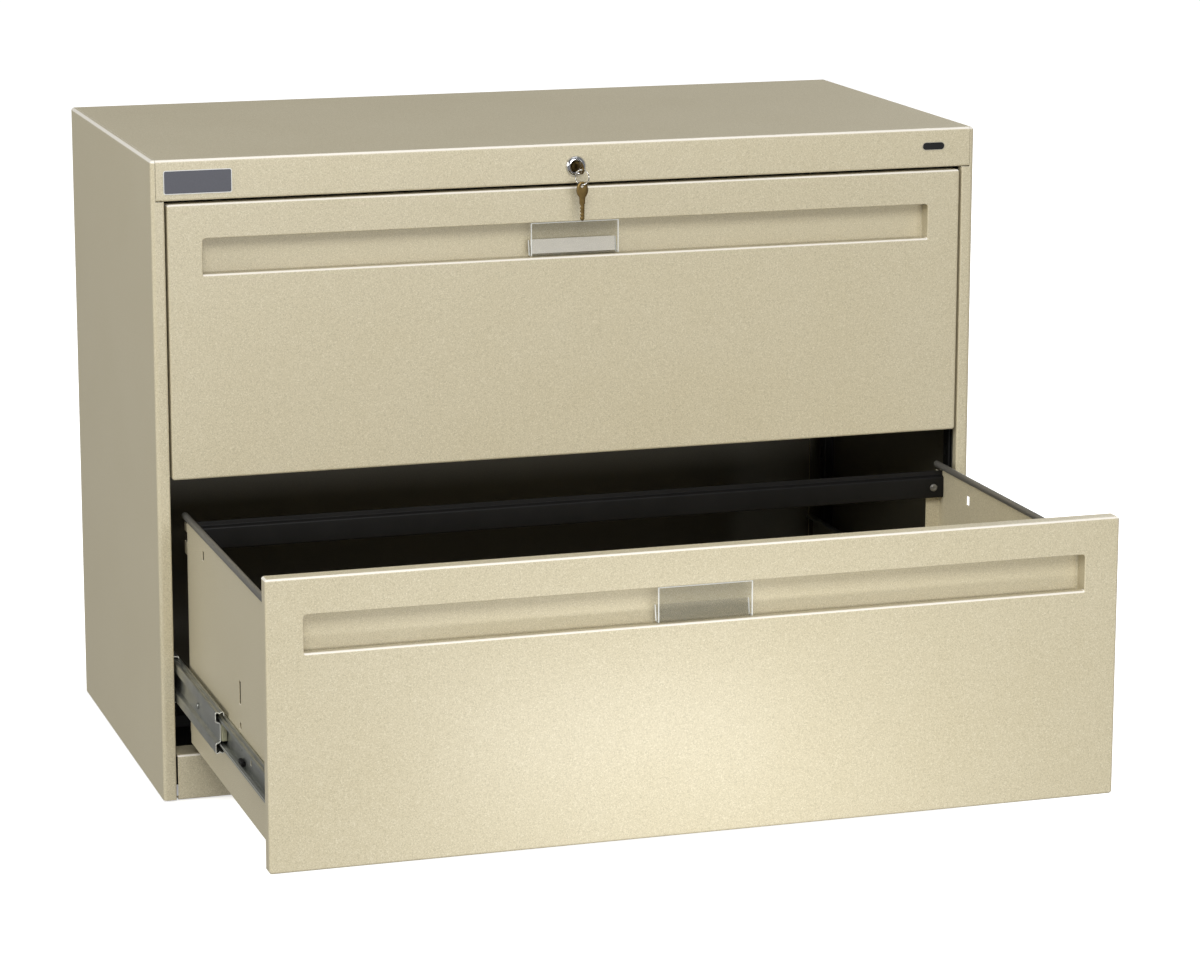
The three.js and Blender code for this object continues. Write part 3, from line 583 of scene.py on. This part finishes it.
def bead_patch(low, high):
    """A slit circle swept along y. Over the last 3 mm at each end its radius follows a quarter circle."""
    radius, end = (high[0] - low[0]) / 2, 3.0
    centre = np.array([(high[0] + low[0]) / 2, high[2] - radius])
    mouth = np.arcsin(0.9 / radius)
    angle = np.linspace(-np.pi / 2 + mouth, 1.5 * np.pi - mouth, 27)
    ring = radius * np.column_stack([np.cos(angle), np.sin(angle)])
    ring = np.vstack([ring, [(-0.9, 0.9), (0.9, 0.9)]])
    turn = np.radians(np.linspace(5, 90, 6))
    share = np.concatenate([np.sin(turn), np.sin(turn[::-1])])
    share = (radius - end + end * share) / radius
    y = np.concatenate([low[1] + end * (1 - np.cos(turn)), high[1] - end * (1 - np.cos(turn[::-1]))])
    grid = carry(ring, y, 1)
    grid[..., [0, 2]] = grid[..., [0, 2]] * share[:, None, None] + centre
    return sheet(grid, closed=True, ends=True)


def screw_head(centre, axis, face, radius=4.2):
    """A pan head turned round an axis through its seat: pairs of radius and height above the seat."""
    profile = [(radius, 0), (radius, 0.9), (radius * 0.93, 1.4), (radius * 0.75, 1.8), (radius * 0.5, 2.1)]
    profile = np.array(profile + [(radius * 0.42, 2.1), (radius * 0.3, 1.3)])
    angle = np.linspace(0, 2 * np.pi, 24, endpoint=False)
    grid = np.empty((len(profile), len(angle), 3))
    grid[..., axis] = face * profile[:, 1:]
    grid[..., (axis + 1) % 3] = profile[:, :1] * np.cos(angle)
    grid[..., (axis + 2) % 3] = profile[:, :1] * np.sin(angle)
    return sheet(grid + centre, closed=True, ends=True)


bar_screw_inset = 12.0
for level in ("lower", "upper"):
    body = level + "_drawer"
    for end, reach in (("rear", 1), ("front", -1)):
        node = f"{level}_{end}_hanging_bar"
        patch = bar_patch(*span(node), reach)
        make(node + "_rolled", [patch], BLACK, "black_paint", body, [node], wall=SHEET, offset=0)
    bar_low, bar_high = span(level + "_rear_hanging_bar")
    x, z = bar_high[0] - bar_screw_inset, bar_low[2] + bar_screw_inset
    heads = [screw_head((side * x, bar_low[1], z), 1, -1) for side in (-1, 1)]
    make(level + "_bar_screws", heads, BEAD, "zinc_steel", body, edge=0)
    cap = level + "_{}_side_cap"
    make_pair(level + "_{}_bead", [bead_patch(*span(cap.format("right")))], BEAD, "grey_cap", body, cap)

# ---- Slides ----
# Each drawer runs on a pair of ball-bearing slides in bright zinc-plated steel: a fixed channel on
# the uprights, a middle member with raceways above and below a sunk web, and the drawer's member.


def section(half_path, centre):
    """A slide's section in (x, z), from its upper half by mirror image below the centre line."""
    upper = np.array(half_path, float)
    lower = upper[::-1] * [1, -1]
    return np.vstack([upper, lower]) + [0, centre]


def cut_steel():
    """Sheared steel edges: paler and duller than the plated faces."""
    edge = Mix("cut_steel", Metallic=0.5)
    drag = edge.noise(700, 2)
    edge.feed("Base Color", edge.tint(drag, rgb("cfcfc6"), rgb("f0f0e8")))
    edge.feed("Roughness", 0.35 + 0.2 * drag)
    return edge.material


middle_web, member_web = 435.4, 427.2
member_slot = (109.0, 115.0)
rolled = {"wall": SHEET, "offset": 0, "rim": cut_steel()}
for level in ("lower", "upper"):
    node = level + "_{}_slide_channel"
    low, high = span(node.format("right"))
    centre = (low[2] + high[2]) / 2
    lip, wall = high[0] - 9.5, high[0] - 0.6
    path = [(lip, 22.3), (lip, 24.9), (wall, 24.9), (wall, 8)]
    line = fold(section(path, centre), [1.2, 2.4, 3, 3, 2.4, 1.2])
    patch = sheet(carry(line, [low[1], high[1]], 1))
    make_pair(node + "_rolled", [patch], ZINC, "zinc_steel", "case", node, **rolled)

    node = level + "_{}_slide_middle"
    low, high = span(node.format("right"))
    path = [(431.6, 17.4), (431.6, 21.4), (434, 21.4), (436, 20)]
    path += [(438, 21.4), (440.2, 21.4), (440.2, 11.6), (middle_web, 9.6)]
    radii = [1.4, 1, 1, 1, 1.4, 1.2, 1.2]
    line = fold(section(path, centre), radii + radii[::-1])
    patch = sheet(carry(line, [low[1], high[1]], 1))
    make_pair(node + "_rolled", [patch], ZINC, "zinc_steel", level + "_slide_middles", node, **rolled)

    node = level + "_{}_slide_drawer_member"
    low, high = span(node.format("right"))
    path = [(435.4, 12.2), (435.4, 14.4), (433.4, 14.4), (431.4, 13)]
    path += [(429.4, 14.4), (member_web, 14.4), (member_web, 5)]
    radii = [1.2, 0.9, 0.9, 0.9, 1.2, 2]
    slot_y = [low[1] + end for end in member_slot]
    grid = carry(fold(section(path, centre), radii + radii[::-1]), [low[1], *slot_y, high[1]], 1)
    patch = sheet(grid, punched(grid, (ANY, slot_y, (centre - 5.1, centre + 5.1))))
    make_pair(node + "_rolled", [patch], ZINC, "zinc_steel", level + "_drawer", node, **rolled)


def moulded(low, high, corner=1.2):
    """A block with rounded edges along Y: rounded rectangles at four stations, the end ones smaller."""
    middle = ((low[0] + high[0]) / 2, 0, 0)
    stations = [(low[1], 0.6), (low[1] + 0.6, 0), (high[1] - 0.6, 0), (high[1], 0.6)]
    half_width = (high[0] - low[0]) / 2
    rows = []
    for y, inset in stations:
        corners = np.full(4, corner - inset / 2)
        rows.append(loop(half_width - inset, low[2] + inset, high[2] - inset, corners, y) + middle)
    return sheet(np.array(rows), closed=True, ends=True)


def pale_nylon():
    """Natural nylon gone slightly yellow and grey."""
    block = Mix("pale_nylon")
    stain = block.noise(220, 3)
    block.feed("Base Color", block.tint(stain, rgb("b9b694"), rgb("8f8f78")))
    block.feed("Roughness", 0.4 + 0.2 * stain)
    return block.material


# Small parts on each slide: a nylon stop in the middle member's mouth, a pressed dimple in its web,
# and on the drawer's member a black release lever, a rivet and the screw that holds it to the side.
# Each is placed by its distance back from the front end of the member that it is on.
STOP, LEVER = pale_nylon(), black_coat()
dimple_y, rivet_y, screw_y = 105.0, 22.0, 150.0
lever_y = (135.0, 149.0)
for level in ("lower", "upper"):
    low, high = span(level + "_right_slide_channel")
    centre = (low[2] + high[2]) / 2
    near = span(level + "_right_slide_middle")[0][1]
    stop = moulded((member_web + 1.2, near - 1, centre - 9), (middle_web - 1.1, near + 9, centre + 9))
    dimple = screw_head((middle_web + 0.4, near + dimple_y, centre), 0, 1, 3.2)
    head = span(level + "_right_slide_drawer_member")[0][1]
    lever_low = (member_web + 1, head + lever_y[0], centre - 12.2)
    lever = moulded(lever_low, (member_web + 5.2, head + lever_y[1], centre - 7))
    rivet = screw_head((member_web + 0.5, head + rivet_y, centre), 0, 1, 4.4)
    screw = screw_head((member_web + 0.5, head + screw_y, centre + 3), 0, 1, 2.6)
    middles, drawer = level + "_slide_middles", level + "_drawer"
    for side, turn in (("right", lambda patch: patch), ("left", mirrored)):
        name = f"{level}_{side}_slide_"
        make(name + "stop", [turn(stop)], STOP, "nylon", middles, edge=0)
        make(name + "dimple", [turn(dimple)], ZINC, "zinc_steel", middles, edge=0)
        make(name + "lever", [turn(lever)], LEVER, "nylon", drawer, edge=0)
        make(name + "fixings", [turn(rivet), turn(screw)], ZINC, "zinc_steel", drawer, edge=0)

# ---- Label holders ----
# A strip of smoky clear acrylic stands in each handle opening, folded back into a pocket. The upper
# one holds a blank card. Its cut edges carry a painted highlight.


def clear_plastic(node, border=1.1):
    """Smoky clear acrylic, scuffed along its length. Near its ends and its top edge, where it is cut, it
    has a
    painted highlight: a near-white colour and more opacity."""
    low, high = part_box(node)
    plastic = Mix(node + "_plastic", IOR=1.45)
    scuffs = plastic.noise(160, 3, (0.3, 1, 1))
    x, z = (plastic.node("ShaderNodeSeparateXYZ", {}, {0: plastic.place}, axis) for axis in (0, 2))
    # Painted highlight: near the ends and the top edge the plastic is tinted near white and made more
    # opaque.
    ends = x.math("ABSOLUTE").above(high[0] - border * MM)
    rim = ends.math("MAXIMUM", z.above(high[2] - border * MM))
    smoke = plastic.tint(scuffs, rgb("5c5d50"), rgb("83847a"))
    plastic.feed("Base Color", plastic.tint(rim, smoke, rgb("f6f8f4")))
    plastic.feed("Roughness", 0.05 + 0.1 * scuffs)
    plastic.feed("Alpha", 0.10 + 0.06 * scuffs + 0.5 * rim)
    return plastic.material


def card_stock():
    """Uncoated card with a faint fibre."""
    card = Mix("card")
    fibre = card.noise(1100, 3)
    card.feed("Base Color", card.tint(fibre, rgb("e6e0d2"), rgb("f6f2e8")))
    card.feed("Roughness", 0.75 + 0.15 * fibre)
    card.relief(fibre, 0.03)
    return card.material


CARD = card_stock()
for level in ("lower", "upper"):
    node = level + "_label_holder"
    body = level + "_drawer"
    low, high = span(node)
    near, foot, head = low[1] + 0.6, low[2] + 0.6, high[2]
    path = [(near, head), (near, foot), (near + 8, foot), (near + 11, foot + 15.5)]
    patch = sheet(carry(fold(path, 1.2), [low[0], high[0]], 0))
    strip = {"wall": 1.2, "edge": 0, "offset": 0}
    make(node + "_strip", [patch], clear_plastic(node), "clear_plastic", body, [node], **strip)

# ---- Lock and keys ----
# A chromed housing with a coned bezel holds a brass plug, darkened as painted shade. One brass key is in
# the plug, and a second one hangs from it on a wire ring. The parts behind the apron are zinc-plated.


def polished(name, first, second, roughness):
    """A bright metal with fine wipe marks and a slightly uneven gloss."""
    metal = Mix(name, Metallic=1.0)
    haze = metal.noise(300, 3)
    metal.feed("Base Color", metal.tint(haze, rgb(first), rgb(second)))
    metal.feed("Roughness", roughness + 0.12 * haze)
    return metal.material


CHROME = polished("chrome", "c9cbd0", "e6e7ea", 0.04)
BRASS = polished("brass", "55452a", "75613a", 0.3)
# The plug's brass is a darker copy of the keys' brass: painted shade in the bezel.
SHADED_PLUG_BRASS = polished("plug_painted_shade", "3a301c", "5a4a2b", 0.3)
WIRE = polished("bright_wire", "c9c6c0", "ecebe6", 0.1)


def turned(profile, y, z, steps=96):
    """A profile of (radius, distance along Y) turned round the lock's axis at the height z."""
    profile = np.array(profile, float)
    angle = np.linspace(0, 2 * np.pi, steps, endpoint=False)
    grid = np.empty((len(profile), steps, 3))
    grid[..., 0] = profile[:, :1] * np.cos(angle)
    grid[..., 2] = z + profile[:, :1] * np.sin(angle)
    grid[..., 1] = y + profile[:, 1:]
    return sheet(grid, closed=True)


bezel = [
    (5.8, 20), (5.8, -2.9), (6.0, -3.4), (6.6, -4.1), (7.2, -4.45), (7.9, -4.5), (8.8, -4.25), (9.7, -3.6),
    (10.5, -2.6), (11.0, -1.6), (11.2, -0.8), (11.2, -0.3), (9.2, -0.3), (9.2, 20), (5.8, 20),
]
sleeve = turned(bezel, front, lock_height)
make("lock_sleeve", [sleeve], CHROME, "chrome", "case", ["lock_housing"], edge=0)


def key_patches(hole_radius, place, turn, thick=1.8, edge=0.3):
    """A key in (x, z), turned by a matrix, with its hole at place. The bow is loops from the hole to an
    oval, which is pinched below its middle by the square of the depth, and round its thickness. The
    blade is rows from edge to edge, and its notches are single waves of a cosine in one edge."""
    angle = np.linspace(0, 2 * np.pi, 64, endpoint=False)
    hole = hole_radius * np.column_stack([np.cos(angle), np.sin(angle)])
    oval = np.column_stack([6.4 * np.cos(angle), -5 + 9.5 * np.sin(angle)])
    oval[:, 0] *= 1 - 0.32 * np.clip((-5 - oval[:, 1]) / 9.5, 0, 1) ** 2
    half = thick / 2
    order = [
        (hole, -edge, half), (oval, edge, half), (oval, 0, half - edge), (oval, 0, edge - half),
        (oval, edge, -half), (hole, -edge, -half), (hole, 0, edge - half), (hole, 0, half - edge),
        (hole, -edge, half),
    ]
    loops = []
    for outline, inward, y in order:
        middle = outline.mean(0)
        spoke = outline - middle
        flat = middle + spoke * (1 - inward / np.linalg.norm(spoke, axis=1, keepdims=True))
        loops.append(np.column_stack([flat[:, 0], np.full(64, y), flat[:, 1]]))
    z = np.linspace(-12, -37.5, 86)
    neck = np.interp(z, [-37.5, -35.5, -19.6, -19.3, -15, -12], [0.8, 2.3, 2.3, 3.0, 3.0, 3.5])
    cuts = np.zeros(len(z))
    for notch, deep in ((-22, 1.1), (-25.6, 0.6), (-29.2, 1.4), (-32.6, 0.9)):
        cuts += deep * (1 + np.cos(np.pi * np.clip((z - notch) / 1.5, -1, 1))) / 2
    rim = [(0, -0.6), (0.06, -0.85), (0.94, -0.85), (1, -0.6)]
    rim += [(1, 0.6), (0.94, 0.85), (0.06, 0.85), (0, 0.6)]
    across, depth = np.array(rim).T
    blade = np.empty((len(z), len(rim), 3))
    blade[..., 0] = (cuts - neck)[:, None] + (2 * neck - cuts)[:, None] * across
    blade[..., 1] = depth
    blade[..., 2] = z[:, None]
    bow = sheet(np.array(loops) @ turn.T + place, closed=True)
    return [bow, sheet(blade @ turn.T + place, closed=True, ends=True)]


ring_low, ring_high = span("key_ring")
hole = np.array([0, span("key_in_lock")[0][1] + 4.5, lock_height])
# In the lock the blade points along +Y, with its flat sides to the left and right.
into_lock = np.array([(0, 1, 0), (0, 0, -1), (-1, 0, 0)])
key = key_patches(2.6, hole, into_lock)
make("lock_key_brass", key, BRASS, "brass", "lock_key", ["key_in_lock"], edge=0)

ring_middle = np.array([0, hole[1], (ring_low[2] + ring_high[2]) / 2])
ring_radius, wire_radius = 8.0, 0.65
around = np.linspace(0, 2 * np.pi, 72, endpoint=False)[:, None]
tube = np.linspace(0, 2 * np.pi, 12, endpoint=False)[None, :]
# A wire ring in an upright plane at 45 degrees: radius R + r cos t round the ring, and r sin t aside.
spread = (ring_radius + wire_radius * np.cos(tube)) * np.cos(around)
aside = wire_radius * np.sin(tube) + 0 * around
height = (ring_radius + wire_radius * np.cos(tube)) * np.sin(around)
ring = np.stack([(spread + aside) * np.sqrt(0.5), (aside - spread) * np.sqrt(0.5), height], -1)
ring = np.concatenate([ring, ring[:1]]) + ring_middle
make("wire_ring", [sheet(ring, closed=True)], WIRE, "bright_wire", "key_ring", ["key_ring"], edge=0)

spare = key_patches(2.0, ring_middle - (0, 0, ring_radius + 0.9), np.eye(3))
make("spare_key", spare, BRASS, "brass", "key_ring", edge=0)

# ---- Plates, glides and what stays hidden ----
# A grey label plate and a black oval badge are stuck on the apron, both blank with a pale border. The
# frame's own parts serve for these, and for the uprights, the bottom pan, the glides and the lock.


def plate_finish(name, node, corner, border, field, line, roughness):
    """A field colour with a printed border: the distance to the plate's rounded edge is the length of
    (|x| - a, |z| - b), both at least 0, plus what is left inside, less the corner's radius."""
    low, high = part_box(node)
    print_ = Mix(name, Roughness=roughness)
    middle = [-(low[k] + high[k]) / 2 for k in range(3)]
    local = print_.node("ShaderNodeVectorMath", {"operation": "ADD"}, {0: print_.place, 1: middle})
    x, z = (print_.node("ShaderNodeSeparateXYZ", {}, {0: local}, axis) for axis in (0, 2))
    across = x.math("ABSOLUTE") - ((high[0] - low[0]) / 2 - corner * MM)
    up = z.math("ABSOLUTE") - ((high[2] - low[2]) / 2 - corner * MM)
    outside = (across.positive() * across.positive() + up.positive() * up.positive()).math("SQRT")
    inner = across.math("MAXIMUM", up).math("MINIMUM", 0.0)
    distance = outside + inner - corner * MM
    start, width = border
    band = distance.above(-(start + width) * MM) * (1 - distance.above(-start * MM))
    haze = print_.noise(500, 2)
    ground = print_.tint(haze, rgb(field), tuple(c * 1.25 for c in rgb(field)))
    print_.feed("Base Color", print_.tint(band, ground, rgb(line)))
    print_.feed("Roughness", roughness + 0.1 * haze)
    return print_.material


def nylon():
    """Dark moulded nylon, slightly mottled."""
    part = Mix("nylon")
    mottle = part.noise(300, 3)
    part.feed("Base Color", part.tint(mottle, rgb("2c2c2b"), rgb("3d3d3b")))
    part.feed("Roughness", 0.5 + 0.2 * mottle)
    part.relief(mottle, 0.05)
    return part.material


looks = {
    "putty_paint": PUTTY,
    "black_paint": BLACK,
    "zinc_steel": ZINC,
    "brass": SHADED_PLUG_BRASS,
    "card": CARD,
    "nylon": nylon(),
    "grey_plate": plate_finish("grey_plate", "label_plate", 2.5, (0.0, 0.8), "4c4d55", "e4e4e0", 0.42),
    "black_badge": plate_finish("black_badge", "badge_plate", 4.3, (0.0, 0.5), "0b0b0b", "b9b4a4", 0.25),
}
for part in frame["record"]["subparts"]:
    shell = frame["nodes"][part["node"]]
    if not shell.hide_render:
        shell.data.materials.clear()
        shell.data.materials.append(looks[part["material_slot"]])

# ---- Studio ----
# A pale glowing floor that throws no light on the cabinet and has a shadow painted under it, broad soft
# lights from the front, the left, above and behind, a small one low in front, and the camera.


def stage_floor(reach=20.0, footprint=(0.40, 0.17), fade=12):
    """A flat pale floor, level with the underside of the glides' pads. Its glow is off as a painted shadow
    in the footprint, a rectangle given by its half width and half depth, and grows by fade in a metre
    outside it."""
    mesh = bpy.data.meshes.new("floor")
    corners = [(-reach, -reach, 0), (reach, -reach, 0), (reach, reach, 0), (-reach, reach, 0)]
    mesh.from_pydata(corners, [], [(0, 1, 2, 3)])
    floor = bpy.data.objects.new("floor", mesh)
    bpy.context.scene.collection.objects.link(floor)
    floor.visible_diffuse = floor.visible_glossy = False
    pale = Mix("pale_floor", Roughness=0.9, Emission_Strength=0.85)
    pale.feed("Base Color", pale.tint(pale.noise(3, 2), rgb("f4f4f3"), rgb("fafafa")))
    outside_painted_shadow = []
    for axis, edge in enumerate(footprint):
        place = pale.node("ShaderNodeSeparateXYZ", {}, {0: pale.place}, axis)
        outside_painted_shadow.append(((place.math("ABSOLUTE") - edge) * fade).positive())
    glow = outside_painted_shadow[0].math("MAXIMUM", outside_painted_shadow[1]).math("MINIMUM", 1.0)
    # Painted shadow: no glow under the cabinet, full glow beyond the fade.
    pale.feed("Emission Color", pale.tint(glow, (0, 0, 0, 1), (1, 1, 1, 1)))
    mesh.materials.append(pale.material)


def soft_light(name, place, aim, size, watts):
    """A rectangular area light at place, facing aim."""
    lamp = bpy.data.lights.new(name, "AREA")
    lamp.shape = "RECTANGLE"
    lamp.size, lamp.size_y = size
    lamp.energy = watts
    light = bpy.data.objects.new(name, lamp)
    bpy.context.scene.collection.objects.link(light)
    light.visible_camera = False
    light.location = place
    light.rotation_euler = (Vector(aim) - Vector(place)).to_track_quat("-Z", "Y").to_euler()


stage_floor()
fronts = (0, -0.3, 0.35)
soft_light("key", (-1.454, -5.057, 3.705), fronts, (2.6, 2.0), 155)
soft_light("front", (0.312, -6.247, 1.081), fronts, (2.6, 0.8), 120)
soft_light("left", (-4.756, -0.939, 1.644), (0, -0.1, 0.35), (2.0, 2.0), 92)
soft_light("above", (0, 0.2, 3.2), (0, 0, 0.6), (2.0, 2.0), 11)
soft_light("behind", (3.4, 3.0, 2.4), (0, 0, 0.35), (2.0, 2.0), 75)
soft_light("low", (0.03, -1.05, 0.05), (0, -0.66, 0.02), (0.35, 0.08), 0.75)

world = bpy.data.worlds.new("studio")
bpy.context.scene.world = world
world.use_nodes = True
sky = world.node_tree.nodes["Background"]
sky.inputs["Color"].default_value = (1, 1, 1, 1)
sky.inputs["Strength"].default_value = 0.24
bpy.context.scene.view_settings.view_transform = "Standard"

yaw, pitch, roll = 0.3087, 0.2049, 0.0013
camera_data = bpy.data.cameras.new("camera")
camera_data.lens = 117.63
camera_data.sensor_width = 36.0
camera_data.shift_y = -0.05
camera_data.clip_end = 100.0
camera = bpy.data.objects.new("camera", camera_data)
bpy.context.scene.collection.objects.link(camera)
forward = Vector((np.sin(yaw) * np.cos(pitch), np.cos(yaw) * np.cos(pitch), -np.sin(pitch)))
level_right = Vector((np.cos(yaw), -np.sin(yaw), 0))
upright = level_right.cross(forward)
right = level_right * np.cos(roll) + upright * np.sin(roll)
camera.matrix_world = Matrix((right, right.cross(forward), -forward)).transposed().to_4x4()
camera.location = (-1.2293, -4.1695, 1.2458)
bpy.context.scene.camera = camera
